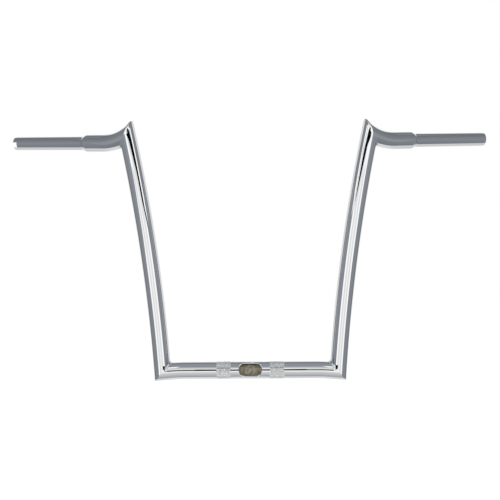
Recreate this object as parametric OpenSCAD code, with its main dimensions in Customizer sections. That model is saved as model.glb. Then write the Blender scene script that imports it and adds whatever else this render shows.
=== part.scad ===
// Tall handlebar welded up from seven chromed steel tubes.
// The clamp tube lies along X, the risers stand up from its ends in the XZ plane,
// and the arms carry the grip tubes outward and back towards the rider (+Y).

/* [Main tube] */
// Outside diameter of the clamp tube, risers and arms
tube_d = 31.75; // [30:0.25:35]
// Wall thickness of the clamp tube, risers and arms
tube_wall = 3; // [2:0.1:3.4]

/* [Clamp tube] */
// Distance between the two lower corners, centre line to centre line
corner_span = 321; // [260:1:380]
// Angle by which each end of the clamp tube dips towards its corner
end_dip = 4.5; // [1:0.5:8]
// Length of the first stretch of the dip, at half the angle
dip_step = 12; // [6:1:16]
// Length of the last stretch of the dip, up to the corner
dip_straight = 24; // [20:1:32]
// Distance between the centres of the two knurled clamping bands
band_span = 97; // [84:1:130]
// Width of a knurled band
band_w = 28; // [20:1:34]
// Height that the knurling stands above the tube
band_rise = 0.35; // [0.1:0.05:0.6]
// Length of the wiring slot, end to end
slot_len = 43; // [26:1:46]
// Width of the wiring slot
slot_w = 22.5; // [10:0.5:24]
// Angle by which the slot looks up from straight ahead
slot_tilt = 12; // [-30:1:60]

/* [Risers] */
// Length of a riser along its centre line, corner to top joint
riser_len = 435; // [300:1:520]
// Lean of the riser from upright at its foot
foot_tilt = 3.8; // [1:0.1:8]
// Lean of the riser from upright at its top
head_tilt = 11.7; // [9:0.1:16]

/* [Arms] */
// Angle that each arm turns back towards the rider, about the top of its riser
arm_sweep = 20.4; // [0:0.2:35]
// Angle by which the arm starts below square to its riser
arm_drop = 17; // [5:0.5:24]
// Centre-line radius of the arm's bend
bend_radius = 102; // [80:1:140]
// Angle that the arm's bend turns through beyond the joint
bend_angle = 30.2; // [20:0.2:45]
// Length of the rounded shoulder at the end of the arm
shoulder_len = 10; // [6:0.5:16]
// Thickness of steel left at the rim of the shoulder
shoulder_lip = 0.9; // [0.3:0.1:1.2]
// Length of the wiring slot under each arm, end to end
arm_slot_len = 20; // [14:1:30]
// Width of the wiring slot under each arm
arm_slot_w = 11; // [6:0.5:14]
// Angle of that slot from straight down towards the rider
arm_slot_turn = 42; // [0:1:80]
// Straight tube left on either side of that slot
slot_margin = 2; // [1:0.5:8]

/* [Grips] */
// Outside diameter of a grip tube
grip_d = 25.4; // [22:0.1:25.6]
// Wall thickness of a grip tube
grip_wall = 2.4; // [1.5:0.1:3]
// Length of grip tube that shows outside the arm
grip_len = 146.5; // [110:0.5:180]
// Length of grip tube seated inside the arm
grip_seat = 18; // [16:1:40]
// Depth turned off the radius of the seated end
seat_turned = 0.25; // [0.2:0.01:0.5]
// Radial gap between the seated end and its bore in the arm
seat_gap = 0.1; // [0.02:0.01:0.15]
// Width of the throttle sensor notch in the end of the throttle grip
notch_w = 9.5; // [4:0.5:12]
// Depth of that notch along the tube
notch_len = 9.5; // [4:0.5:20]
// Angle of that notch below straight ahead
notch_turn = 13; // [-30:1:60]

/* [Hidden] */
// Facets of a full turn round a tube
tube_fn = 64;
$fn = tube_fn;
// Facets of a full turn at the arm's bend, the riser's bow and the shoulder's edge
bend_fn = 240;
bow_fn = 1080;
shoulder_fn = 180;
// Length by which a cutter passes the surface that it cuts
over = 1;
// Reach of the half spaces that cut the mitres, past the far end of the riser
far = riser_len + corner_span;
// Angle that the arm's bend is drawn past its mitre, for the cut to take off
spare_turn = 8;
// Length by which one stretch of tube runs into the next, to fuse with it
lap = 1.5;
// Height by which a joint between two stretches stands proud of the tube
joint_rise = 0.03;

tube_r = tube_d / 2;
bore_r = tube_r - tube_wall;
grip_r = grip_d / 2;
grip_bore_r = grip_r - grip_wall;
band_r = tube_r + band_rise;
spigot_r = grip_r - seat_turned;
seat_r = spigot_r + seat_gap;

// Clamp tube: its straight ends at dip_x, and steps down to the corner
corner_x = corner_span / 2;
step_x = corner_x - dip_straight * cos(end_dip);
dip_x = step_x - dip_step * cos(end_dip / 2);
step_z = -dip_step * sin(end_dip / 2);
corner_z = step_z - dip_straight * sin(end_dip);
// Lean of the lower mitre plane's normal, halfway between the two tubes it joins
corner_lean = (90 + end_dip + foot_tilt) / 2;

// Riser, an arc that leans further out towards its top
bow_angle = head_tilt - foot_tilt;
bow_radius = riser_len / (bow_angle * PI / 180);
// Angle that the bow is drawn past its mitres, for the cuts to take off
bow_over = 2 * tube_d / bow_radius * 180 / PI;
bow_x = corner_x + bow_radius * cos(foot_tilt);
bow_z = corner_z - bow_radius * sin(foot_tilt);
head_x = bow_x - bow_radius * cos(head_tilt);
head_z = bow_z + bow_radius * sin(head_tilt);

// Arm, drawn flat in its own frame: Z along the top of the riser, X outward
bend_x = bend_radius * sin(arm_drop);
bend_z = bend_radius * cos(arm_drop);
arm_rise = bend_angle - arm_drop;
// Heights of the peak and the crotch, where the outlines of the two tubes cross
peak_z = bend_z - sqrt(pow(bend_radius - tube_r, 2) - pow(bend_x + tube_r, 2));
crotch_z = bend_z - sqrt(pow(bend_radius + tube_r, 2) - pow(bend_x - tube_r, 2));
mitre_lean = atan2(peak_z - crotch_z, tube_d);
mitre_mid_z = (peak_z + crotch_z) / 2;
// Angle at which the bend is started, beyond the tip of the peak
arm_start = -asin((bend_x + tube_r) / (bend_radius - tube_r)) - spare_turn;

// Shoulder of the arm, an arc that starts tangent to the tube
sleeve_r = tube_r + joint_rise;
sleeve_bore_r = bore_r - joint_rise;
shoulder_drop = sleeve_r - seat_r - shoulder_lip;
shoulder_r = (pow(shoulder_len, 2) + pow(shoulder_drop, 2)) / (2 * shoulder_drop);
// Straight of the arm: the slot, then the seat, whose end is rounded
seat_start = arm_slot_len + 2 * slot_margin;
shoulder_start = seat_start + grip_seat - shoulder_len;
arm_slot_x = seat_start / 2;

// Everything above the plane z = 0
module half_space() {
    translate([-far, -far, 0])
        cube([2 * far, 2 * far, 2 * far]);
}

// Ring of tube in the XZ plane, starting straight below its centre and turning
// from +X up towards +Z, by way of a turn that may start before the bottom
module tube_arc(centre_r, first, last, segments) {
    rotate([-90, 0, 0])
        rotate([0, 0, 90 - last])
            rotate_extrude(angle = last - first, $fn = segments)
                translate([centre_r, 0])
                    difference() {
                        circle(r = tube_r, $fn = tube_fn);
                        circle(r = bore_r, $fn = tube_fn);
                    }
}

// Solid rod along +X from the origin
module rod(length, r) {
    rotate([0, 90, 0])
        cylinder(h = length, r = r);
}

// Ball on the centre line, where a rod changes direction
module ball(r) {
    rotate([0, 90, 0])
        sphere(r = r);
}

// Straight tube along +X from the origin
module tube(length, outer_r, inner_r) {
    difference() {
        rod(length, outer_r);
        translate([-over, 0, 0])
            rod(length + 2 * over, inner_r);
    }
}

// Obround cutter: long way along X, cutting from the axis out along -Y
module slot_cutter(length, width) {
    rotate([90, 0, 0])
        linear_extrude(height = tube_d)
            union() {
                square([length - width, width], center = true);
                for (side = [-1, 1])
                    translate([side * (length - width) / 2, 0])
                        circle(d = width);
            }
}

// Space past the lower mitre plane, on the riser's side
module past_corner() {
    translate([corner_x, 0, corner_z])
        rotate([0, corner_lean, 0])
            half_space();
}

// Space past the upper mitre plane, on the arm's side, in the arm's frame
module past_head() {
    translate([0, 0, mitre_mid_z])
        rotate([0, mitre_lean, 0])
            half_space();
}

// Puts a child drawn in the arm's own frame on top of the riser
module at_head() {
    translate([head_x, 0, head_z])
        rotate([0, head_tilt, 0])
            rotate([0, 0, arm_sweep])
                children();
}

// Puts a child drawn along +X at the end of the arm's bend, in the arm's frame
module at_bend_end() {
    translate([bend_x, 0, bend_z])
        rotate([0, -arm_rise, 0])
            translate([0, 0, -bend_radius])
                children();
}

// Solid run of the clamp tube's centre line: straight, then dipping in two steps
module clamp_run(r) {
    translate([-dip_x, 0, 0])
        rod(2 * dip_x, r);
    for (side = [0, 1])
        mirror([side, 0, 0]) {
            translate([dip_x, 0, 0])
                rotate([0, end_dip / 2, 0]) {
                    ball(r + joint_rise);
                    rod(dip_step, r);
                }
            translate([step_x, 0, step_z])
                rotate([0, end_dip, 0]) {
                    ball(r + joint_rise);
                    rod(dip_straight + tube_d, r);
                }
        }
}

module clamp_tube() {
    color([0.80, 0.81, 0.83])
        difference() {
            union() {
                clamp_run(tube_r);
                for (side = [-1, 1])
                    translate([(side * band_span - band_w) / 2, 0, 0])
                        rod(band_w, band_r);
            }
            clamp_run(bore_r);
            rotate([-slot_tilt, 0, 0])
                slot_cutter(slot_len, slot_w);
            for (side = [0, 1])
                mirror([side, 0, 0])
                    past_corner();
        }
}

module riser() {
    difference() {
        intersection() {
            translate([bow_x, 0, bow_z])
                mirror([0, 0, 1])
                    rotate([0, 90, 0])
                        tube_arc(bow_radius, foot_tilt - bow_over, head_tilt + bow_over, bow_fn);
            past_corner();
        }
        at_head()
            past_head();
    }
}

// Straight of the arm with its rounded shoulder, turned about its axis
module sleeve() {
    rotate([0, 90, 0])
        rotate_extrude()
            difference() {
                union() {
                    translate([sleeve_bore_r, -lap])
                        square([sleeve_r - sleeve_bore_r, seat_start + lap]);
                    translate([seat_r, seat_start])
                        square([sleeve_r - seat_r, grip_seat]);
                }
                difference() {
                    translate([seat_r - over, shoulder_start])
                        square([tube_d, shoulder_len + over]);
                    translate([sleeve_r - shoulder_r, shoulder_start])
                        circle(r = shoulder_r, $fn = shoulder_fn);
                }
            }
}

module arm() {
    intersection() {
        translate([bend_x, 0, bend_z])
            tube_arc(bend_radius, arm_start, arm_rise, bend_fn);
        past_head();
    }
    at_bend_end()
        difference() {
            sleeve();
            translate([arm_slot_x, 0, 0])
                rotate([90 + arm_slot_turn, 0, 0])
                    slot_cutter(arm_slot_len, arm_slot_w);
        }
}

// Grip tube: a turned end seated in the arm, then the full diameter outside it
module grip(notched) {
    at_bend_end()
        translate([seat_start, 0, 0])
            difference() {
                union() {
                    tube(grip_seat + lap, spigot_r, grip_bore_r);
                    translate([grip_seat, 0, 0])
                        tube(grip_len, grip_r, grip_bore_r);
                }
                if (notched)
                    translate([grip_seat + grip_len, 0, 0])
                        rotate([notch_turn, 0, 0])
                            translate([-notch_len, -grip_d, -notch_w / 2])
                                cube([notch_len + over, grip_d, notch_w]);
            }
}

module riser_throttle_side() {
    color([0.74, 0.75, 0.78])
        mirror([1, 0, 0])
            riser();
}

module riser_clutch_side() {
    color([0.74, 0.75, 0.78])
        riser();
}

module arm_throttle_side() {
    color([0.60, 0.62, 0.65])
        mirror([1, 0, 0])
            at_head()
                arm();
}

module arm_clutch_side() {
    color([0.60, 0.62, 0.65])
        at_head()
            arm();
}

module grip_throttle_side() {
    color([0.68, 0.70, 0.73])
        mirror([1, 0, 0])
            at_head()
                grip(true);
}

module grip_clutch_side() {
    color([0.68, 0.70, 0.73])
        at_head()
            grip(false);
}

clamp_tube();
riser_throttle_side();
riser_clutch_side();
arm_throttle_side();
arm_clutch_side();
grip_throttle_side();
grip_clutch_side();
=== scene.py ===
import math
import bmesh
import bpy
import numpy as np
from mathutils import Matrix, Vector


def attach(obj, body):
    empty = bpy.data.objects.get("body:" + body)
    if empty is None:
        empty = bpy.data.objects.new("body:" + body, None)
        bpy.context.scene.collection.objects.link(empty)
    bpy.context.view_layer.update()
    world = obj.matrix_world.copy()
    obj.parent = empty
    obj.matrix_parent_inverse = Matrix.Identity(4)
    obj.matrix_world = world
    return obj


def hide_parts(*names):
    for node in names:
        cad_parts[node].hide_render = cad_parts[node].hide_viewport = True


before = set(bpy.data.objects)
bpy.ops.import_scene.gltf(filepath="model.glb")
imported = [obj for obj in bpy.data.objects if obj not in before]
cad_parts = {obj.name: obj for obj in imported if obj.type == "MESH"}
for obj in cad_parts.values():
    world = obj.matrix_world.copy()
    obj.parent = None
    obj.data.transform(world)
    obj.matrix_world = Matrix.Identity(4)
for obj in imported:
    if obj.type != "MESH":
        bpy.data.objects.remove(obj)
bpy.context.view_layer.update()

mm = 0.001
deg = math.radians
halvings = 48       # steps of the search for where two tubes meet


def smooth(t):
    t = np.clip(t, 0.0, 1.0)
    return t * t * (3 - 2 * t)


def turnY(p, angle):
    c, s = math.cos(deg(angle)), math.sin(deg(angle))
    return np.stack([p[..., 0] * c + p[..., 2] * s, p[..., 1], -p[..., 0] * s + p[..., 2] * c], -1)


def turnZ(p, angle):
    c, s = math.cos(deg(angle)), math.sin(deg(angle))
    return np.stack([p[..., 0] * c - p[..., 1] * s, p[..., 0] * s + p[..., 1] * c, p[..., 2]], -1)


def mirrored(ring):
    return ring * np.array([-1.0, 1.0, 1.0])


def solve(f, low, high):
    # where f changes sign from plus to minus, one answer for each line
    for _ in range(halvings):
        mid = (low + high) / 2
        above = f(mid) > 0
        low = np.where(above, mid, low)
        high = np.where(above, high, mid)
    return (low + high) / 2


def cornerArc(p1, corner, p2, count):
    # points of the arc that rounds each line's corner, without its ends
    a, b = corner - p1, p2 - corner
    cosTurn = (a * b).sum(-1) / (np.linalg.norm(a, axis=-1) * np.linalg.norm(b, axis=-1))
    w = np.sqrt((1 + np.clip(cosTurn, -0.98, 1)) / 2)[:, None]
    rings = []
    for k in range(1, count + 1):
        u = k / (count + 1)
        top = (1 - u) ** 2 * p1 + 2 * u * (1 - u) * w * corner + u ** 2 * p2
        rings.append(top / ((1 - u) ** 2 + 2 * u * (1 - u) * w + u ** 2))
    return rings


# the bar's own sizes, in millimetres and degrees, the same as in its CAD source
bar = {
    "tubeRadius": 15.875, "boreRadius": 12.875,
    "cornerSpan": 321, "endDip": 4.5, "dipStep": 12, "dipStraight": 24,
    "riserLength": 435, "footTilt": 3.8, "headTilt": 11.7,
    "armSweep": 20.4, "armDrop": 17, "bendRadius": 102, "bendAngle": 30.2,
    "slotStretch": 24, "gripSeat": 18, "seatRadius": 12.55, "gripRadius": 12.7,
}

# how the welds, the peaks and the shoulders are ground before plating
ground = {
    "outerFoot": 1.2, "innerFoot": 5.5, "footBlend": 1.6,
    "peak": 3.0, "crotch": 6.5, "headBlendStart": 0.35, "headBlend": 1.55,
    "boreCorner": 1.0,
    "shoulderSlope": 37, "shoulderLip": 3.0,
}

cornerX = bar["cornerSpan"] / 2
stepX = cornerX - bar["dipStraight"] * math.cos(deg(bar["endDip"]))
dipX = stepX - bar["dipStep"] * math.cos(deg(bar["endDip"] / 2))
stepZ = -bar["dipStep"] * math.sin(deg(bar["endDip"] / 2))
cornerZ = stepZ - bar["dipStraight"] * math.sin(deg(bar["endDip"]))
bowRadius = bar["riserLength"] / deg(bar["headTilt"] - bar["footTilt"])
bowX = cornerX + bowRadius * math.cos(deg(bar["footTilt"]))
bowZ = cornerZ - bowRadius * math.sin(deg(bar["footTilt"]))
headX = bowX - bowRadius * math.cos(deg(bar["headTilt"]))
headZ = bowZ + bowRadius * math.sin(deg(bar["headTilt"]))
bendX = bar["bendRadius"] * math.sin(deg(bar["armDrop"]))
bendZ = bar["bendRadius"] * math.cos(deg(bar["armDrop"]))
armRise = bar["bendAngle"] - bar["armDrop"]
armEnd = bar["slotStretch"] + bar["gripSeat"]

# the clamp tube's dip, drawn as one smooth bend that touches the CAD's two steps
dipBendRadius = bar["dipStep"] / 2 / math.tan(deg(bar["endDip"] / 4))
dipStart = dipX - bar["dipStep"] / 2
dipEnd = dipStart + dipBendRadius * deg(bar["endDip"])
clampEnd = dipEnd + bar["dipStraight"] - bar["dipStep"] / 2


def slotTubeLine(u, phi, radius):
    # the straight middle of the clamp tube, on both sides of x = 0
    u = np.asarray(u, float) + 0 * phi
    return np.stack([u, radius * np.sin(phi), -radius * np.cos(phi)], -1)


def clampLine(u, phi, radius):
    # a line along one half of the clamp tube: u along the centre line, phi from the underside to the rider
    u = np.asarray(u, float) + 0 * phi
    inBend = np.clip(u - dipStart, 0, dipEnd - dipStart)
    a = inBend / dipBendRadius
    past = np.maximum(u - dipEnd, 0)
    x = np.minimum(u, dipStart) + dipBendRadius * np.sin(a) + past * np.cos(a)
    z = -dipBendRadius * (1 - np.cos(a)) - past * np.sin(a)
    side = -radius * np.cos(phi)
    return np.stack([x + side * np.sin(a), radius * np.sin(phi), z + side * np.cos(a)], -1)


turnMargin = 30     # the riser's lines run straight this far from its foot and head


def riserLine(s, phi, radius):
    # a line up the riser: it turns by the arm's sweep on the way, so that it meets the arm's line
    s = np.asarray(s, float) + 0 * phi
    onBow = np.clip(s, 0, bar["riserLength"])
    t = deg(bar["footTilt"]) + onBow / bowRadius
    turned = smooth((s - turnMargin) / (bar["riserLength"] - 2 * turnMargin))
    angle = phi + deg(bar["armSweep"]) * turned
    side = radius * np.cos(angle) - bowRadius
    x = bowX + side * np.cos(t) + (s - onBow) * np.sin(t)
    z = bowZ - side * np.sin(t) + (s - onBow) * np.cos(t)
    return np.stack([x, radius * np.sin(angle), z], -1)


def toArm(p):
    q = p - np.array([headX, 0, headZ])
    return turnZ(turnY(q, -bar["headTilt"]), -bar["armSweep"])


def fromArm(p):
    return turnY(turnZ(p, bar["armSweep"]), bar["headTilt"]) + np.array([headX, 0, headZ])


def armRing(b, phi, radius):
    # a ring of the bend, at angle b from straight below the bend's centre
    reach = bar["bendRadius"] + radius * np.cos(phi)
    return fromArm(np.stack([bendX + reach * np.sin(b), radius * np.sin(phi), bendZ - reach * np.cos(b)], -1))


def armLine(s, phi, radius):
    # s along the centre line from the end of the bend, less than 0 inside the bend
    s = np.asarray(s, float) + 0 * phi
    bent = armRing(deg(armRise) + np.minimum(s, 0) / bar["bendRadius"], phi, radius)
    along = fromArm(turnY(np.array([[1.0, 0, 0]]), -armRise)) - fromArm(np.zeros((1, 3)))
    return bent + np.maximum(s, 0)[..., None] * along


# the wiring slots: turn is from the underside towards the rider, and the box is the patch of skin that is
# cut out for each of them
cableSlot = {"length": 42, "width": 21.6, "turn": 258, "land": 1.4, "edge": 0.18, "rings": 6,
             "boxHalfLength": 30, "boxHalfColumns": 20, "boxCells": 20}
armSlot = {"length": 20, "width": 11, "turn": 42, "land": 0.6, "edge": 0.15, "rings": 5,
           "boxStart": -2.5, "boxEnd": 23.9, "boxHalfColumns": 10, "boxCells": 14}

# how finely the skin is laid out, and where its plain stretches end, in millimetres
skinGrid = {"columns": 96, "middleRings": 12, "footRings": 14, "cornerRings": 9, "riserRings": 60,
            "bendRings": 24, "shoulderRings": 12, "middleEnd": 112, "reach": 60, "pastSlot": 28}


def cornerTrims(phi, roundings):
    # how far each line stops short of the foot and the head of the riser
    outerFoot, innerFoot, peak, crotch = roundings
    # low is 1 along the underside of the clamp tube and the outside of the riser
    low = (1 + np.cos(phi)) / 2
    foot = innerFoot + (outerFoot - innerFoot) * smooth(low * ground["footBlend"])
    head = peak + (crotch - peak) * smooth((low - ground["headBlendStart"]) * ground["headBlend"])
    return foot, head


def halfRings(phi, radius, roundings):
    # rings of one half of the bar, from its middle to the end of the bend, with marks for the slots
    footTrim, headTrim = cornerTrims(phi, roundings)
    rings, marks = [], {}
    reach = skinGrid["reach"]
    half = cableSlot["boxHalfLength"]
    halfCells = cableSlot["boxCells"] // 2
    for k in range(halfCells + 1):
        rings.append(clampLine(half * k / halfCells, phi, radius))
    marks["slotEnd"] = len(rings) - 1
    middleEnd = skinGrid["middleEnd"]
    for u in np.linspace(half, middleEnd, skinGrid["middleRings"] + 1)[1:]:
        rings.append(clampLine(u, phi, radius))

    # the foot, where the clamp tube's line and the riser's line meet
    baseDir = np.array([math.cos(deg(bar["endDip"])), 0, -math.sin(deg(bar["endDip"]))])
    baseUp = np.array([math.sin(deg(bar["endDip"])), 0, math.cos(deg(bar["endDip"]))])
    foot = np.array([cornerX, 0, cornerZ])
    footS = solve(lambda s: -((riserLine(s, phi, radius) - foot) @ baseUp + radius * np.cos(phi)),
                  -reach + 0 * phi, reach + 0 * phi)
    footCorner = riserLine(footS, phi, radius)
    footU = clampEnd + (footCorner - foot) @ baseDir
    count = skinGrid["footRings"]
    for k in range(1, count + 1):
        rings.append(clampLine(middleEnd + (footU - footTrim - middleEnd) * k / count, phi, radius))
    riserStart = riserLine(footS + footTrim, phi, radius)
    rings += cornerArc(rings[-1], footCorner, riserStart, skinGrid["cornerRings"])

    # the head, where the riser's line meets the bend of the arm
    def overArm(s):
        q = toArm(riserLine(s, phi, radius))
        return np.hypot(q[..., 0] - bendX, q[..., 2] - bendZ) - bar["bendRadius"] - q[..., 0]

    headS = solve(overArm, bar["riserLength"] - reach + 0 * phi, bar["riserLength"] + reach + 0 * phi)
    headCorner = riserLine(headS, phi, radius)
    first, last = footS + footTrim, headS - headTrim
    count = skinGrid["riserRings"]
    for k in range(count + 1):
        rings.append(riserLine(first + (last - first) * k / count, phi, radius))

    # the bend: each line slides from where it left the riser to its own place round the arm
    q = toArm(headCorner)
    startB = np.arctan2(q[:, 0] - bendX, bendZ - q[:, 2])
    startX = np.hypot(q[:, 0] - bendX, q[:, 2] - bendZ) - bar["bendRadius"]
    startRadius, startPhi = np.hypot(startX, q[:, 1]), np.arctan2(q[:, 1], startX)
    offPhi = (startPhi - phi + math.pi) % (2 * math.pi) - math.pi
    endB = deg(armRise) + armSlot["boxStart"] / bar["bendRadius"]

    def bendLine(b):
        w = smooth((b - startB) / (endB - startB))
        return armRing(b, phi + offPhi * (1 - w), startRadius + (radius - startRadius) * w)

    firstB = startB + headTrim / (bar["bendRadius"] + radius * np.cos(phi))
    rings += cornerArc(rings[-1], headCorner, bendLine(firstB), skinGrid["cornerRings"])
    count = skinGrid["bendRings"]
    for k in range(count + 1):
        rings.append(bendLine(firstB + (endB - firstB) * k / count))
    marks["armSlotStart"] = len(rings) - 1
    stretch = armSlot["boxEnd"] - armSlot["boxStart"]
    for k in range(1, armSlot["boxCells"] + 1):
        rings.append(armLine(armSlot["boxStart"] + stretch * k / armSlot["boxCells"], phi, radius))
    marks["armSlotEnd"] = len(rings) - 1
    return rings, marks


plated, raw = 0, 1      # the two finishes of the skin, as material slots


class barSkin:
    def __init__(self):
        self.points, self.faces, self.kinds = [], [], []

    def addRing(self, ring):
        first = len(self.points)
        self.points.extend([tuple(p) for p in ring])
        return list(range(first, first + len(ring)))

    def addFace(self, corners, kind):
        self.faces.append(corners)
        self.kinds.append(kind)

    def joinLoops(self, a, b, kind):
        for i in range(len(a)):
            j = (i + 1) % len(a)
            self.addFace([a[i], a[j], b[j], b[i]], kind)


slotWall = {"boreClearance": 0.3, "steps": 3, "crowding": 1.3}


def cutSlot(skin, slot, centre, loop, loopInner, params, lineAt, flip):
    # fills the gap left in both walls of the tube round a slot with rounded ends
    turn = deg(slot["turn"])
    outerR, innerR = bar["tubeRadius"], bar["boreRadius"]
    halfRun, halfWidth = (slot["length"] - slot["width"]) / 2, slot["width"] / 2
    s = params[:, 0] - centre
    lateral = (params[:, 1] - turn) * outerR
    nearest = np.clip(s, -halfRun, halfRun)
    away = np.stack([s - nearest, lateral], -1)
    away /= np.linalg.norm(away, axis=-1)[:, None]

    def edge(offset):
        return nearest + away[:, 0] * (halfWidth + offset), away[:, 1] * (halfWidth + offset)

    def onTube(sp, phi, radius):
        ring = lineAt(sp + centre, phi, radius)
        return mirrored(ring) if flip else ring

    def inSlot(sp, across, out):
        # a point of the slot's wall, straight out from the tube's axis
        return onTube(sp, turn + np.arctan2(across, out), np.hypot(across, out))

    def wallRings(radius, offset):
        # rings in the tube's wall, from the patch's border to the slot, closer together near the slot
        sp, across = edge(offset)
        rings = []
        targetPhi = turn + np.arcsin(across / radius)
        for k in range(1, slot["rings"] + 1):
            w = 1 - (1 - k / slot["rings"]) ** slotWall["crowding"]
            rings.append(onTube(s + (sp - s) * w, params[:, 1] + (targetPhi - params[:, 1]) * w, radius))
        return rings

    # the plated land round the hole is flat across and faces straight out of the slot
    land, soft, clear = slot["land"], slot["edge"], slotWall["boreClearance"]
    rings = [(r, plated) for r in wallRings(outerR, land)]
    landDepth = np.sqrt(outerR ** 2 - edge(land)[1] ** 2)
    for offset in (land - soft, land / 2, soft):
        sp, across = edge(offset)
        rings.append((inSlot(sp, across, landDepth), plated))
    sp, across = edge(0.0)
    inner = np.sqrt(innerR ** 2 - across ** 2)
    rings.append((inSlot(sp, across, landDepth - soft), plated))
    for k in range(1, slotWall["steps"] + 1):
        depth = landDepth - soft + (inner + clear - landDepth + soft) * k / slotWall["steps"]
        rings.append((inSlot(sp, across, depth), plated if k == 1 else raw))
    rings += [(r, raw) for r in wallRings(innerR, clear)[::-1]]
    before = loop
    for ring, kind in rings:
        here = skin.addRing(ring)
        skin.joinLoops(before, here, kind)
        before = here
    skin.joinLoops(before, loopInner, raw)


def shoulderProfile():
    # the arm's outside past its slot: it rounds down to the grip tube and laps it with a thin lip
    proud = 0.02
    tube, grip, count = bar["tubeRadius"], bar["gripRadius"], skinGrid["shoulderRings"]
    slope = deg(ground["shoulderSlope"])
    bulge = (tube - grip) / (1 - math.cos(slope))
    lipStart = armEnd - ground["shoulderLip"]
    start = lipStart - bulge * math.sin(slope)
    profile = [(skinGrid["pastSlot"], tube), (start - 1, tube)]
    for k in (*range(count), count - 0.2, count):
        a = slope * k / count
        profile.append((start + bulge * math.sin(a), tube - bulge * (1 - math.cos(a)) + proud))
    return profile + [(lipStart + 0.12, grip + proud), (armEnd - 0.1, grip + proud / 2), (armEnd, grip)]


def weldedBarSkin():
    # one closed skin: outside, bore, ends of the arms and the three slots
    n = skinGrid["columns"]
    phi = np.arange(n) * 2 * math.pi / n
    skin = barSkin()
    outerRings, marks = halfRings(phi, bar["tubeRadius"], (
        ground["outerFoot"], ground["innerFoot"], ground["peak"], ground["crotch"]))
    innerRings, _ = halfRings(phi, bar["boreRadius"], (ground["boreCorner"],) * 4)
    outerRings += [armLine(s, phi, r) for s, r in shoulderProfile()]
    seatStart, seat = bar["slotStretch"], bar["seatRadius"]
    for s, r in ((seatStart, bar["boreRadius"]), (seatStart, seat), (seatStart + bar["gripSeat"] / 2, seat),
                 (armEnd, seat)):
        innerRings.append(armLine(s, phi, r))

    slotColumn = round(cableSlot["turn"] / 360 * n)
    armColumn = round(armSlot["turn"] / 360 * n)

    def grid(half, kind):
        rings = [skin.addRing(mirrored(r)) for r in half[:0:-1]] + [skin.addRing(r) for r in half]
        mid = len(half) - 1
        holes = [(mid - marks["slotEnd"], mid + marks["slotEnd"], slotColumn, cableSlot["boxHalfColumns"])]
        for sign in (-1, 1):
            ends = sorted((mid + sign * marks["armSlotStart"], mid + sign * marks["armSlotEnd"]))
            holes.append((ends[0], ends[1], armColumn, armSlot["boxHalfColumns"]))
        for i in range(len(rings) - 1):
            for j in range(n):
                if any(a <= i < b and (j - c + h) % n < 2 * h for a, b, c, h in holes):
                    continue
                k = (j + 1) % n
                skin.addFace([rings[i][j], rings[i][k], rings[i + 1][k], rings[i + 1][j]], kind)
        return rings, mid, holes

    def holeLoop(rings, hole):
        a, b, c, h = hole
        cells = [(a, c - h + k) for k in range(2 * h)] + [(a + k, c + h) for k in range(b - a)]
        cells += [(b, c + h - k) for k in range(2 * h)] + [(b - k, c - h) for k in range(b - a)]
        return [rings[i][j % n] for i, j in cells], cells

    outerGrid, mid, holes = grid(outerRings, plated)
    innerGrid, _, holesIn = grid(innerRings, raw)
    for end in (0, -1):
        skin.joinLoops(outerGrid[end], innerGrid[end], plated)

    def alongAt(index, i):
        # the place along the tube of ring i, for the cable slot or for one of the arm slots
        if index == 0:
            return (i - mid) * cableSlot["boxHalfLength"] / marks["slotEnd"]
        k = abs(i - mid) - marks["armSlotStart"]
        return armSlot["boxStart"] + (armSlot["boxEnd"] - armSlot["boxStart"]) * k / armSlot["boxCells"]

    for index, slot in enumerate((cableSlot, armSlot, armSlot)):
        loop, cells = holeLoop(outerGrid, holes[index])
        loopIn, _ = holeLoop(innerGrid, holesIn[index])
        params = np.array([(alongAt(index, i), j * 2 * math.pi / n) for i, j in cells])
        centre = 0 if index == 0 else bar["slotStretch"] / 2
        lineAt = slotTubeLine if index == 0 else armLine
        cutSlot(skin, slot, centre, loop, loopIn, params, lineAt, index == 1)
    return skin


def tidyMesh(mesh, weld=None, shadeFlat=False, sharpAngle=None):
    # merges doubles, turns the faces outwards and shades them; returns how many edges are open
    bm = bmesh.new()
    bm.from_mesh(mesh)
    if weld:
        bmesh.ops.remove_doubles(bm, verts=bm.verts, dist=weld)
    bmesh.ops.recalc_face_normals(bm, faces=bm.faces)
    for face in bm.faces:
        face.smooth = not shadeFlat
    if sharpAngle:
        for e in bm.edges:
            if len(e.link_faces) == 2 and e.calc_face_angle(0) > deg(sharpAngle):
                e.smooth = False
    openEdges = sum(1 for e in bm.edges if not e.is_manifold)
    bm.to_mesh(mesh)
    bm.free()
    return openEdges


def addObject(name, data):
    obj = bpy.data.objects.new(name, data)
    bpy.context.scene.collection.objects.link(obj)
    return obj


def skinPiece(name, skin):
    mesh = bpy.data.meshes.new(name)
    mesh.from_pydata([tuple(c * mm for c in p) for p in skin.points], [], skin.faces)
    mesh.polygons.foreach_set("material_index", skin.kinds)
    openEdges = tidyMesh(mesh)
    print(name, "faces", len(mesh.polygons), "open edges", openEdges)
    return addObject(name, mesh)


def join(tree, socket, value):
    # gives a socket another socket's output, or a fixed value
    if isinstance(value, bpy.types.NodeSocket):
        tree.links.new(value, socket)
    else:
        socket.default_value = value


def addNode(tree, kind, settings=None, inputs=None):
    node = tree.nodes.new(kind)
    for key, value in (settings or {}).items():
        setattr(node, key, value)
    for key, value in (inputs or {}).items():
        join(tree, node.inputs[key], value)
    return node


def calc(tree, operation, *values):
    node = addNode(tree, "ShaderNodeMath", {"operation": operation})
    for socket, value in zip(node.inputs, values):
        join(tree, socket, value)
    return node.outputs[0]


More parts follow.
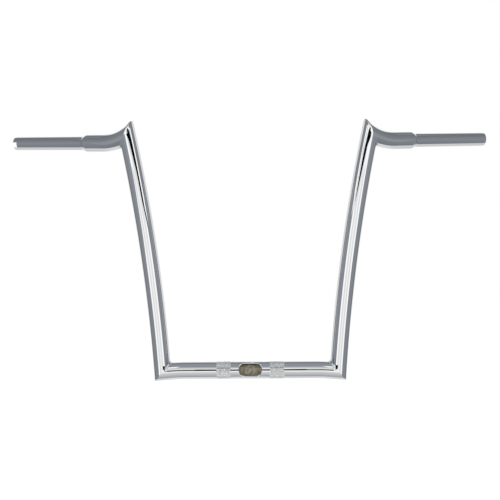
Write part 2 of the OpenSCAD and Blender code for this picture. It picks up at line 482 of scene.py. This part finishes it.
def newShapeTree(name, sizes, wholeNumber):
    # a geometry tree with one named input for each size, and one for the finish
    tree = bpy.data.node_groups.new(name, "GeometryNodeTree")
    sockets = tree.interface
    sockets.new_socket("Geometry", in_out="INPUT", socket_type="NodeSocketGeometry")
    for key, value in sizes.items():
        kind = "NodeSocketInt" if key == wholeNumber else "NodeSocketFloat"
        sockets.new_socket(key, in_out="INPUT", socket_type=kind).default_value = value
    sockets.new_socket("Finish", in_out="INPUT", socket_type="NodeSocketMaterial")
    sockets.new_socket("Geometry", in_out="OUTPUT", socket_type="NodeSocketGeometry")
    return tree, tree.nodes.new("NodeGroupInput").outputs


def finishTree(tree, geometry, finish):
    real = addNode(tree, "GeometryNodeRealizeInstances", None, {"Geometry": geometry})
    coated = addNode(tree, "GeometryNodeSetMaterial", None, {"Geometry": real.outputs[0], "Material": finish})
    tree.links.new(coated.outputs[0], tree.nodes.new("NodeGroupOutput").inputs[0])
    return tree


# a grip tube, in millimetres and degrees; the notch looks a little below straight ahead, in the throttle end
gripShape = {"Seat radius": 12.45, "Outside radius": 12.7, "Bore radius": 10.3, "Seat length": 18.0,
             "Shown length": 146.5, "Rim rounding": 0.6, "Notch width": 9.5, "Notch length": 8.0,
             "Notch turn": 0.0, "Facets": 96}
gripRimSteps, gripWallCuts, seatSlack, notchDrop = 5, 24, 0.2, 13


def gripTree(name, notched):
    # a lathe: the wall's outline is carried round a circle, then the notch is cut out of the end
    tree, ins = newShapeTree(name, gripShape, "Facets")
    lengths = [key for key in gripShape if key not in ("Facets", "Notch turn")]
    scale = {key: calc(tree, "MULTIPLY", ins[key], mm) for key in lengths}
    outside, bore, seat = scale["Outside radius"], scale["Bore radius"], scale["Seat radius"]
    total = calc(tree, "ADD", scale["Seat length"], scale["Shown length"])
    outline = addNode(tree, "GeometryNodeCurvePrimitiveQuadrilateral", {"mode": "RECTANGLE"},
                      {"Width": calc(tree, "SUBTRACT", outside, bore), "Height": total})
    filleted = addNode(tree, "GeometryNodeFilletCurve", {"mode": "POLY"}, {
        "Curve": outline.outputs[0], "Count": gripRimSteps, "Radius": scale["Rim rounding"]})
    # the path is a circle round the axis; the outline's width lies along its radius
    middle = calc(tree, "MULTIPLY", calc(tree, "ADD", outside, bore), 0.5)
    circle = addNode(tree, "GeometryNodeCurvePrimitiveCircle", {"mode": "RADIUS"}, {
        "Resolution": ins["Facets"], "Radius": middle})
    split = addNode(tree, "GeometryNodeSubdivideCurve", None, {
        "Curve": filleted.outputs[0], "Cuts": gripWallCuts})
    lathe = addNode(tree, "GeometryNodeCurveToMesh", None, {
        "Curve": circle.outputs[0], "Profile Curve": split.outputs[0]})
    offset = addNode(tree, "ShaderNodeCombineXYZ", None, {"X": calc(tree, "MULTIPLY", total, 0.5)})
    turned = addNode(tree, "GeometryNodeTransform", None, {
        "Geometry": lathe.outputs[0], "Translation": offset.outputs[0], "Rotation": (0, math.pi / 2, 0)})
    # the seated end is turned down a little
    position = addNode(tree, "GeometryNodeInputPosition")
    x, y, z = addNode(tree, "ShaderNodeSeparateXYZ", None, {0: position.outputs[0]}).outputs
    radius = calc(tree, "SQRT", calc(tree, "ADD", calc(tree, "MULTIPLY", y, y), calc(tree, "MULTIPLY", z, z)))
    inSeat = calc(tree, "LESS_THAN", x, calc(tree, "SUBTRACT", scale["Seat length"], seatSlack * mm))
    inWall = calc(tree, "MULTIPLY", inSeat, calc(tree, "GREATER_THAN", radius, seat))
    ratio = calc(tree, "DIVIDE", seat, radius)
    seatPlace = addNode(tree, "ShaderNodeCombineXYZ", None, {
        "X": x, "Y": calc(tree, "MULTIPLY", y, ratio), "Z": calc(tree, "MULTIPLY", z, ratio)})
    seated = addNode(tree, "GeometryNodeSetPosition", None, {
        "Geometry": turned.outputs[0], "Selection": inWall, "Position": seatPlace.outputs[0]})
    body = seated.outputs[0]
    if notched:
        # a block across the wall, centred on the end of the tube, so that half of its length cuts
        size = addNode(tree, "ShaderNodeCombineXYZ", None, {
            "X": calc(tree, "MULTIPLY", scale["Notch length"], 2), "Y": scale["Notch width"],
            "Z": calc(tree, "MULTIPLY", outside, 2)})
        block = addNode(tree, "GeometryNodeMeshCube", None, {"Size": size.outputs[0]})
        lift = addNode(tree, "ShaderNodeCombineXYZ", None, {"X": total, "Z": outside})
        raised = addNode(tree, "GeometryNodeTransform", None, {
            "Geometry": block.outputs[0], "Translation": lift.outputs[0]})
        spin = addNode(tree, "ShaderNodeCombineXYZ", None, {"X": calc(tree, "RADIANS", ins["Notch turn"])})
        cutter = addNode(tree, "GeometryNodeTransform", None, {
            "Geometry": raised.outputs[0], "Rotation": spin.outputs[0]})
        cut = addNode(tree, "GeometryNodeMeshBoolean", {"operation": "DIFFERENCE", "solver": "EXACT"}, {
            "Mesh 1": body, "Mesh 2": cutter.outputs[0]})
        body = cut.outputs[0]
    shaded = addNode(tree, "GeometryNodeSetShadeSmooth", None, {"Geometry": body})
    return finishTree(tree, shaded.outputs[0], ins["Finish"])


# a knurled band, in millimetres, with so many diamonds round the tube, on a low ring
knurlShape = {"Crest radius": 16.2, "Root radius": 15.92, "Band width": 28.0, "Diamond length": 3.4,
              "Around": 48}
knurlRing = {"wall": 0.4, "sink": 0.15, "facets": 96}
bandSpan = 97       # between the middles of the two bands


def knurlTree():
    # small diamonds in staggered rows, then rolled round the tube
    tree, ins = newShapeTree("knurlRoll", knurlShape, "Around")
    root = calc(tree, "MULTIPLY", ins["Root radius"], mm)
    height = calc(tree, "MULTIPLY", calc(tree, "SUBTRACT", ins["Crest radius"], ins["Root radius"]), mm)
    width = calc(tree, "MULTIPLY", ins["Band width"], mm)
    around = ins["Around"]
    halfStepX = calc(tree, "MULTIPLY", calc(tree, "MULTIPLY", ins["Diamond length"], mm), 0.5)
    stepY = calc(tree, "DIVIDE", calc(tree, "MULTIPLY", root, 2 * math.pi), around)
    rows = calc(tree, "FLOOR", calc(tree, "DIVIDE", width, halfStepX))
    rows = calc(tree, "SUBTRACT", rows, 1.0)
    points = addNode(tree, "GeometryNodePoints", None, {"Count": calc(tree, "MULTIPLY", rows, around)})
    index = addNode(tree, "GeometryNodeInputIndex").outputs[0]
    row = calc(tree, "FLOOR", calc(tree, "DIVIDE", calc(tree, "ADD", index, 0.5), around))
    column = calc(tree, "SUBTRACT", index, calc(tree, "MULTIPLY", row, around))
    stagger = calc(tree, "MULTIPLY", calc(tree, "MODULO", row, 2.0), 0.5)
    middleRow = calc(tree, "MULTIPLY", calc(tree, "SUBTRACT", rows, 1.0), 0.5)
    place = addNode(tree, "ShaderNodeCombineXYZ", None, {
        "X": calc(tree, "MULTIPLY", calc(tree, "SUBTRACT", row, middleRow), halfStepX),
        "Y": calc(tree, "MULTIPLY", calc(tree, "ADD", column, stagger), stepY)})
    spread = addNode(tree, "GeometryNodeSetPosition", None, {
        "Geometry": points.outputs[0], "Position": place.outputs[0]})
    # a four-sided cone: its corners point along and round the tube, so that the rows close up
    diamond = addNode(tree, "GeometryNodeMeshCone", {"fill_type": "NGON"}, {
        "Vertices": 4, "Side Segments": 1, "Radius Top": 0.0, "Radius Bottom": 1.0, "Depth": 1.0})
    size = addNode(tree, "ShaderNodeCombineXYZ", None, {
        "X": halfStepX, "Y": calc(tree, "MULTIPLY", stepY, 0.5), "Z": height})
    shrunk = addNode(tree, "GeometryNodeTransform", None, {
        "Geometry": diamond.outputs[0], "Scale": size.outputs[0]})
    spots = addNode(tree, "GeometryNodeInstanceOnPoints", None, {
        "Points": spread.outputs[0], "Instance": shrunk.outputs[0]})
    solid = addNode(tree, "GeometryNodeRealizeInstances", None, {"Geometry": spots.outputs[0]})
    position = addNode(tree, "GeometryNodeInputPosition")
    x, y, z = addNode(tree, "ShaderNodeSeparateXYZ", None, {0: position.outputs[0]}).outputs
    angle = calc(tree, "DIVIDE", y, root)
    lift = calc(tree, "ADD", root, z)
    rolledPlace = addNode(tree, "ShaderNodeCombineXYZ", None, {
        "X": x, "Y": calc(tree, "MULTIPLY", lift, calc(tree, "SINE", angle)),
        "Z": calc(tree, "MULTIPLY", lift, calc(tree, "COSINE", angle))})
    rolled = addNode(tree, "GeometryNodeSetPosition", None, {
        "Geometry": solid.outputs[0], "Position": rolledPlace.outputs[0]})
    # the low ring that the diamonds stand on
    ringProfile = addNode(tree, "GeometryNodeCurvePrimitiveQuadrilateral", {"mode": "RECTANGLE"}, {
        "Width": knurlRing["wall"] * mm, "Height": width})
    ringPath = addNode(tree, "GeometryNodeCurvePrimitiveCircle", {"mode": "RADIUS"}, {
        "Resolution": knurlRing["facets"], "Radius": calc(tree, "SUBTRACT", root, knurlRing["sink"] * mm)})
    ring = addNode(tree, "GeometryNodeCurveToMesh", None, {
        "Curve": ringPath.outputs[0], "Profile Curve": ringProfile.outputs[0]})
    ringTurned = addNode(tree, "GeometryNodeTransform", None, {
        "Geometry": ring.outputs[0], "Rotation": (0, math.pi / 2, 0)})
    both = addNode(tree, "GeometryNodeJoinGeometry")
    for part in (rolled, ringTurned):
        tree.links.new(part.outputs[0], both.inputs[0])
    return finishTree(tree, both.outputs[0], ins["Finish"])


grown = {"weld": 0.002 * mm, "sharpAngle": 40}


def grow(name, tree, material, values, matrix, flatShade=False):
    # runs a tree on an empty mesh, keeps the result as a plain mesh and puts it in place
    host = addObject(name + "Host", bpy.data.meshes.new(name + "Host"))
    modifier = host.modifiers.new("shape", "NODES")
    modifier.node_group = tree
    for item in tree.interface.items_tree:
        if item.in_out == "INPUT" and item.name in values:
            modifier[item.identifier] = values[item.name]
        if item.in_out == "INPUT" and item.name == "Finish":
            modifier[item.identifier] = material
    graph = bpy.context.evaluated_depsgraph_get()
    mesh = bpy.data.meshes.new_from_object(host.evaluated_get(graph))
    host.modifiers.remove(modifier)
    bpy.data.objects.remove(host)
    mesh.transform(matrix)
    if flatShade:
        openEdges = tidyMesh(mesh, shadeFlat=True)
    else:
        openEdges = tidyMesh(mesh, grown["weld"], sharpAngle=grown["sharpAngle"])
    mesh.name = name
    print(name, "faces", len(mesh.polygons), "open edges", openEdges)
    return addObject(name, mesh)


def newMaterial(name):
    material = bpy.data.materials.new(name)
    material.use_nodes = True
    tree = material.node_tree
    return material, tree, tree.nodes["Principled BSDF"]


def addNoise(tree, place, scale, detail):
    noise = addNode(tree, "ShaderNodeTexNoise", None, {"Vector": place, "Scale": scale, "Detail": detail})
    return noise.outputs[0]


def addBump(tree, shader, height, strength, distance):
    bump = addNode(tree, "ShaderNodeBump", None, {
        "Height": height, "Strength": strength, "Distance": distance})
    tree.links.new(bump.outputs[0], shader.inputs["Normal"])


chromeLook = {"color": (0.80, 0.815, 0.835, 1), "roughness": 0.03, "haze": 0.03, "hazeScale": 35.0,
              "wave": 0.02, "waveScale": 60.0, "waveHeight": 0.0004}


def chromePlate():
    # mirror plate: nearly no roughness, faint polishing haze and a slight waviness
    look = chromeLook
    material, tree, shader = newMaterial("chromePlate")
    shader.inputs["Base Color"].default_value = look["color"]
    shader.inputs["Metallic"].default_value = 1.0
    place = addNode(tree, "ShaderNodeTexCoord").outputs["Object"]
    spread = addNode(tree, "ShaderNodeMapRange", None, {
        "Value": addNoise(tree, place, look["hazeScale"], 4.0), "From Min": 0.35, "From Max": 0.7,
        "To Min": look["roughness"], "To Max": look["roughness"] + look["haze"]})
    tree.links.new(spread.outputs[0], shader.inputs["Roughness"])
    addBump(tree, shader, addNoise(tree, place, look["waveScale"], 1.0), look["wave"], look["waveHeight"])
    return material


# depth is measured away from the slot, in metres: painted shade makes the bore dark near the slot, and
# painted light makes it pale at the far wall
steelLook = {"metallic": 0.15, "roughness": 0.62, "blotchScale": 160.0, "gritScale": 900.0, "grit": 0.35,
             "gritHeight": 0.0003, "dark": (0.34, (0.28, 0.25, 0.175, 1)),
             "middle": (0.5, (0.55, 0.505, 0.38, 1)), "pale": (0.70, (0.86, 0.81, 0.66, 1)),
             "depthTilt": -0.25, "depth": (0.0075, 0.0128), "paintedShadeTone": (0.2, 1.5)}


def rawSteel():
    # unplated bore: olive brown, blotched, with pale specks, and painted shade that darkens it near the slot
    # and brightens its far wall
    look = steelLook
    material, tree, shader = newMaterial("rawSteelBore")
    shader.inputs["Metallic"].default_value = look["metallic"]
    shader.inputs["Roughness"].default_value = look["roughness"]
    place = addNode(tree, "ShaderNodeTexCoord").outputs["Object"]
    blotch = addNode(tree, "ShaderNodeTexNoise", None, {
        "Vector": place, "Scale": look["blotchScale"], "Detail": 6.0, "Roughness": 0.7})
    ramp = addNode(tree, "ShaderNodeValToRGB", None, {"Fac": blotch.outputs[0]})
    stops = ramp.color_ramp.elements
    stops[0].position, stops[0].color = look["dark"]
    stops[1].position, stops[1].color = look["pale"]
    stops.new(look["middle"][0]).color = look["middle"][1]
    x, y, z = addNode(tree, "ShaderNodeSeparateXYZ", None, {0: place}).outputs
    # painted shade: the colour is scaled down near the slot and up at the far wall, as if lit through the
    # slot
    depth = addNode(tree, "ShaderNodeMapRange", None, {
        "Value": calc(tree, "MULTIPLY_ADD", z, look["depthTilt"], y),
        "From Min": look["depth"][0], "From Max": look["depth"][1],
        "To Min": look["paintedShadeTone"][0], "To Max": look["paintedShadeTone"][1]})
    paintedShadeBore = addNode(tree, "ShaderNodeVectorMath", {"operation": "SCALE"}, {
        0: ramp.outputs[0], "Scale": depth.outputs[0]})
    tree.links.new(paintedShadeBore.outputs[0], shader.inputs["Base Color"])
    addBump(tree, shader, addNoise(tree, place, look["gritScale"], 3.0), look["grit"], look["gritHeight"])
    return material


# the two colours of the painted glints: a dull tone and a bright one, spread by random specks
knurlLook = {"speckScale": 480.0, "roughness": (0.06, 0.14), "paintedDullSpeck": (0.42, (0.76, 0.765, 0.78, 1)),
             "paintedGlintSpeck": (0.54, (1.0, 1.0, 1.0, 1))}


def knurledPlate():
    # plate over the knurling: frosted by its many small faces, with painted glints and painted dull specks in
    # its colour in place of bright crests and duller grooves
    look = knurlLook
    material, tree, shader = newMaterial("knurledPlate")
    shader.inputs["Metallic"].default_value = 1.0
    place = addNode(tree, "ShaderNodeTexCoord").outputs["Object"]
    speck = addNoise(tree, place, look["speckScale"], 1.0)
    spread = addNode(tree, "ShaderNodeMapRange", None, {
        "Value": speck, "From Min": 0.3, "From Max": 0.7,
        "To Min": look["roughness"][0], "To Max": look["roughness"][1]})
    tree.links.new(spread.outputs[0], shader.inputs["Roughness"])
    # painted glints: the speck noise makes some specks of the colour bright and others dull
    paintedGlints = addNode(tree, "ShaderNodeValToRGB", None, {"Fac": speck})
    stops = paintedGlints.color_ramp.elements
    stops[0].position, stops[0].color = look["paintedDullSpeck"]
    stops[1].position, stops[1].color = look["paintedGlintSpeck"]
    tree.links.new(paintedGlints.outputs[0], shader.inputs["Base Color"])
    return material


chrome, steel, knurl = chromePlate(), rawSteel(), knurledPlate()

weldedBar = skinPiece("weldedBar", weldedBarSkin())
weldedBar.data.materials.append(chrome)
weldedBar.data.materials.append(steel)
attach(weldedBar, "root")
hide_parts("clamp_tube", "riser_throttle_side", "riser_clutch_side", "arm_throttle_side",
            "arm_clutch_side")
print("welded bar done")


def gripPlace(side):
    # where a grip tube starts: X along it, Y and Z across it
    seatStart, centre, top = bar["slotStretch"], np.zeros(1), np.full(1, math.pi)
    start = armLine(seatStart, centre, 0.0)[0]
    x = armLine(seatStart + 1, centre, 0.0)[0] - start
    z = armLine(seatStart, top, 1.0)[0] - start
    if side < 0:
        start, x, z = mirrored(start), mirrored(x), mirrored(z)
    y = np.cross(z, x)
    matrix = Matrix([list(row) + [0] for row in np.stack([x, y, z], -1)] + [[0, 0, 0, 1]])
    return Matrix.Translation(Vector(start * mm)) @ matrix


# the block that cuts the notch starts straight up and is turned to face ahead
for side, name, node in ((1, "gripTubeClutchSide", "grip_clutch_side"),
                         (-1, "gripTubeThrottleSide", "grip_throttle_side")):
    values = {**gripShape, "Notch turn": float(side * (90 + notchDrop))}
    grip = grow(name, gripTree(name, side < 0), chrome, values, gripPlace(side))
    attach(grip, "root")
    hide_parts(node)
print("grip tubes done")

rollTree = knurlTree()
for side, name in ((-1, "knurlThrottleSide"), (1, "knurlClutchSide")):
    middle = Matrix.Translation((side * bandSpan / 2 * mm, 0, 0))
    band = grow(name, rollTree, knurl, knurlShape, middle, True)
    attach(band, "root")
print("knurled bands done")

floorLook = {"half": 4.0, "height": -0.32, "tone": 0.92, "lift": 0.16}


def plainFloor():
    # a pale floor that the metal doesn't see; the camera sees it a little brighter
    half, z = floorLook["half"], floorLook["height"]
    mesh = bpy.data.meshes.new("studioFloor")
    corners = [(-half, -half, z), (half, -half, z), (half, half, z), (-half, half, z)]
    mesh.from_pydata(corners, [], [(0, 1, 2, 3)])
    floor = addObject("studioFloor", mesh)
    material, tree, shader = newMaterial("paleFloor")
    shader.inputs["Base Color"].default_value = (*(floorLook["tone"],) * 3, 1)
    shader.inputs["Roughness"].default_value = 1.0
    shader.inputs["Specular IOR Level"].default_value = 0.0
    shader.inputs["Emission Color"].default_value = (1, 1, 1, 1)
    path = addNode(tree, "ShaderNodeLightPath")
    glow = calc(tree, "MULTIPLY", path.outputs["Is Camera Ray"], floorLook["lift"])
    tree.links.new(glow, shader.inputs["Emission Strength"])
    floor.data.materials.append(material)
    floor.visible_glossy = False


plainFloor()

# what the metal sees, painted in this order: azimuth from straight ahead of the bar (0) to behind it (180),
# elevation, how soft the two edges are, and the tones at the lower and the upper edge, as display values
studio = [
    ("lowSides", 0, 180, -90, 0, 0, 1, 114, 134),
    ("highSides", 0, 180, 0, 90, 0, 1, 134, 97),
    ("sideShade", 102, 128, -34, 34, 14, 12, 112, 112),
    ("behind", 126, 180, -62, 46, 10, 8, 226, 236),
    ("floorBehind", 91, 180, -90, -50, 8, 6, 222, 204),
    ("lowBehind", 91, 163, -56, -30, 10, 8, 202, 198),
    ("ceilingBehind", 90, 180, 52, 90, 12, 10, 112, 140),
    ("ceilingLow", 0, 46, 30, 58, 8, 4, 206, 138),
    ("ceilingHigh", 0, 100, 58, 90, 14, 4, 138, 148),
    ("floorFar", 0, 28, -62, -14, 6, 3, 176, 208),
    ("floorNear", 0, 34, -90, -62, 12, 3, 158, 174),
    ("frontCard", 0, 43, -16, 22, 3, 4, 219, 222),
    ("cardEdges", 25, 43, -16, 22, 3, 4, 250, 254),
    ("cardMiddle", 0, 7, -14, 5, 3, 3, 236, 248),
    ("highStrip", 0, 46, 18, 33, 3, 5, 216, 210),
    ("overSlot", 0, 3, 17, 27, 2, 3, 250, 250),
]
# dark shapes over the front card: azimuth to the right of straight ahead, and elevation
darkShapes = [
    ("upperRight", 26, 49, 7.0, 16),
    ("upperMiddle", 11, 28, 9.6, 16),
    ("upperLeft", -36, 3, 7.4, 13.2),
]
shade = {"rest": 130, "dark": 8, "darkSoftAzimuth": 2.5, "darkSoftElevation": 1.2, "evenLight": 0.95}
tint = {"grey": (0.94, 1.0, 1.08), "white": (1.01, 1.0, 0.985), "from": 0.3, "to": 0.75, "whiteCards": 180}
farOut = 720        # stands for no edge


def displayTone(value):
    x = value / 255
    return x / 12.92 if x <= 0.04045 else ((x + 0.055) / 1.055) ** 2.4


plateTone = chromeLook["color"][1]


def inRange(tree, value, low, high, soft):
    # 1 between the two edges, 0 outside them, with soft steps
    masks = []
    for at, before, after in ((low, 0.0, 1.0), (high, 1.0, 0.0)):
        step = addNode(tree, "ShaderNodeMapRange", {"interpolation_type": "SMOOTHSTEP"}, {
            "Value": value, "From Min": at - soft / 2, "From Max": at + soft / 2,
            "To Min": before, "To Max": after})
        masks.append(step.outputs[0])
    return calc(tree, "MULTIPLY", *masks)


def mixTone(tree, factor, a, b, label):
    node = addNode(tree, "ShaderNodeMix", {"data_type": "FLOAT", "label": label}, {0: factor, 2: a, 3: b})
    return node.outputs[0]


def mixColor(tree, factor, a, b):
    return addNode(tree, "ShaderNodeMix", {"data_type": "RGBA"}, {0: factor, 6: a, 7: b}).outputs[2]


def studioWorld():
    world = bpy.data.worlds.new("softStudio")
    bpy.context.scene.world = world
    world.use_nodes = True
    tree = world.node_tree
    tree.nodes.clear()
    direction = addNode(tree, "ShaderNodeTexCoord").outputs["Generated"]
    x, y, z = addNode(tree, "ShaderNodeSeparateXYZ", None, {0: direction}).outputs
    signed = calc(tree, "DEGREES", calc(tree, "ARCTAN2", x, calc(tree, "MULTIPLY", y, -1.0)))
    azimuth = calc(tree, "ABSOLUTE", signed)
    elevation = calc(tree, "DEGREES", calc(tree, "ARCSINE", z))
    tone = displayTone(shade["rest"]) / plateTone
    for name, a0, a1, e0, e1, softA, softE, low, high in studio:
        mask = inRange(tree, elevation, e0 if e0 > -90 else -farOut, e1 if e1 < 90 else farOut, softE)
        if softA:
            around = inRange(tree, azimuth, a0 if a0 > 0 else -farOut, a1 if a1 < 180 else farOut, softA)
            mask = calc(tree, "MULTIPLY", mask, around)
        ramp = addNode(tree, "ShaderNodeMapRange", None, {
            "Value": elevation, "From Min": e0, "From Max": e1,
            "To Min": displayTone(low) / plateTone, "To Max": displayTone(high) / plateTone})
        tone = mixTone(tree, mask, tone, ramp.outputs[0], name)
    for name, a0, a1, e0, e1 in darkShapes:
        around = inRange(tree, signed, a0, a1, shade["darkSoftAzimuth"])
        mask = calc(tree, "MULTIPLY", around, inRange(tree, elevation, e0, e1, shade["darkSoftElevation"]))
        tone = mixTone(tree, mask, tone, displayTone(shade["dark"]), name)
    # the greys of the studio are a little blue
    pale = addNode(tree, "ShaderNodeMapRange", None, {
        "Value": tone, "From Min": tint["from"], "From Max": tint["to"], "To Min": 0.0, "To Max": 1.0})
    hue = mixColor(tree, pale.outputs[0], (*tint["grey"], 1), (*tint["white"], 1))
    tinted = addNode(tree, "ShaderNodeVectorMath", {"operation": "SCALE"}, {0: hue, "Scale": tone})
    # metal sees the studio, soft light comes evenly from it, and the camera sees plain white
    path = addNode(tree, "ShaderNodeLightPath").outputs
    evenLight = (*(shade["evenLight"],) * 3, 1)
    seenByMetal = mixColor(tree, path["Is Glossy Ray"], evenLight, tinted.outputs[0])
    seen = mixColor(tree, path["Is Camera Ray"], seenByMetal, (1, 1, 1, 1))
    back = addNode(tree, "ShaderNodeBackground", None, {"Color": seen, "Strength": 1.0})
    tree.links.new(back.outputs[0], addNode(tree, "ShaderNodeOutputWorld").inputs[0])


# cards that only the metal sees, in millimetres: a name, how far back its plane is, its outline as x and z,
# and its tone. Two are high up in front of the arms, and two grey ones stand beside the front card. The dark
# ones are a strip low down before the clamp tube and a wedge before each peak.
cards = [
    ("cardHighClutchSide", -400, [(218, 385), (560, 385), (560, 740), (218, 640)], 250),
    ("cardHighThrottleSide", -400, [(-218, 385), (-560, 385), (-560, 740), (-218, 640)], 250),
    ("greySideThrottle", -395, [(-402, 416), (-409, 347), (-467, 260), (-480, 203), (-556, 103), (-800, 103),
                                (-800, 470), (-402, 470)], 142),
    ("greySideClutch", -395, [(516, 420), (517, 340), (550, 200), (800, 200), (800, 470), (516, 470)], 142),
    ("darkStrip", -34, [(-153, 1.5), (153, 1.5), (153, 7.8), (104, 7.8), (100, 10), (-100, 10), (-104, 7.8),
                        (-153, 7.8)], 1),
    ("darkWedgeClutch", -90, [(184, 450), (212, 444), (239, 436), (242, 427), (227, 420), (212, 415.5),
                              (200, 411), (188, 411), (179, 424), (175, 436)], 8),
    ("darkWedgeThrottle", -90, [(-228, 438), (-208, 443), (-188, 448), (-176, 446), (-176, 430), (-190, 424),
                                (-200, 429), (-208, 433.5), (-216, 434)], 8),
]
# one more stands in the plane x = 0 behind the bar, as y and z
middleCard = ("cardBetweenRisers", [(60, -90), (620, -90), (620, 620), (60, 620)], 214)


def reflectorCard(name, corners, value):
    mesh = bpy.data.meshes.new(name)
    mesh.from_pydata([tuple(c * mm for c in p) for p in corners], [], [tuple(range(len(corners)))])
    card = addObject(name, mesh)
    material = bpy.data.materials.new(name)
    material.use_nodes = True
    tree = material.node_tree
    tree.nodes.clear()
    color = tint["grey"] if value < tint["whiteCards"] else tint["white"]
    glow = addNode(tree, "ShaderNodeEmission", None, {
        "Color": (*color, 1), "Strength": displayTone(value) / plateTone})
    tree.links.new(glow.outputs[0], addNode(tree, "ShaderNodeOutputMaterial").inputs[0])
    card.data.materials.append(material)
    card.visible_camera = card.visible_diffuse = card.visible_shadow = card.visible_transmission = False


studioWorld()
reflectorCard(middleCard[0], [(0, y, z) for y, z in middleCard[1]], middleCard[2])
for name, planeY, outline, value in cards:
    reflectorCard(name, [(x, planeY, z) for x, z in outline], value)

lampShape = {"width": 1.4, "depth": 1.0, "power": 6, "place": (-0.4, -0.9, 1.7), "aim": (0, 0, 0.2)}


def softLamp():
    data = bpy.data.lights.new("softLamp", "AREA")
    data.shape = "RECTANGLE"
    data.size, data.size_y, data.energy = lampShape["width"], lampShape["depth"], lampShape["power"]
    lamp = addObject("softLamp", data)
    lamp.location = lampShape["place"]
    aim = Vector(lampShape["aim"]) - lamp.location
    lamp.rotation_euler = aim.to_track_quat("-Z", "Y").to_euler()
    lamp.visible_glossy = False
    lamp.visible_camera = False


softLamp()

shot = {"focalPixels": 798.2, "distance": 1.45, "elevation": 2.0, "azimuth": -0.6135, "roll": -0.4775,
        "target": (0.00118, 0.0, 0.2191), "sensor": 36.0, "frame": 500}


def placeCamera():
    el, az, roll = deg(shot["elevation"]), deg(shot["azimuth"]), deg(shot["roll"])
    forward = Vector((math.sin(az) * math.cos(el), math.cos(az) * math.cos(el), -math.sin(el)))
    level = Vector((math.cos(az), -math.sin(az), 0))
    upright = level.cross(forward)
    right = math.cos(roll) * level + math.sin(roll) * upright
    up = -math.sin(roll) * level + math.cos(roll) * upright
    data = bpy.data.cameras.new("photoCamera")
    data.sensor_width = shot["sensor"]
    data.lens = shot["focalPixels"] * shot["sensor"] / shot["frame"]
    camera = addObject("photoCamera", data)
    turn = Matrix((right, up, -forward)).transposed().to_4x4()
    camera.matrix_world = Matrix.Translation(Vector(shot["target"]) - shot["distance"] * forward) @ turn
    bpy.context.scene.camera = camera


placeCamera()
bpy.context.scene.view_settings.view_transform = "Standard"
print("stage and camera done")
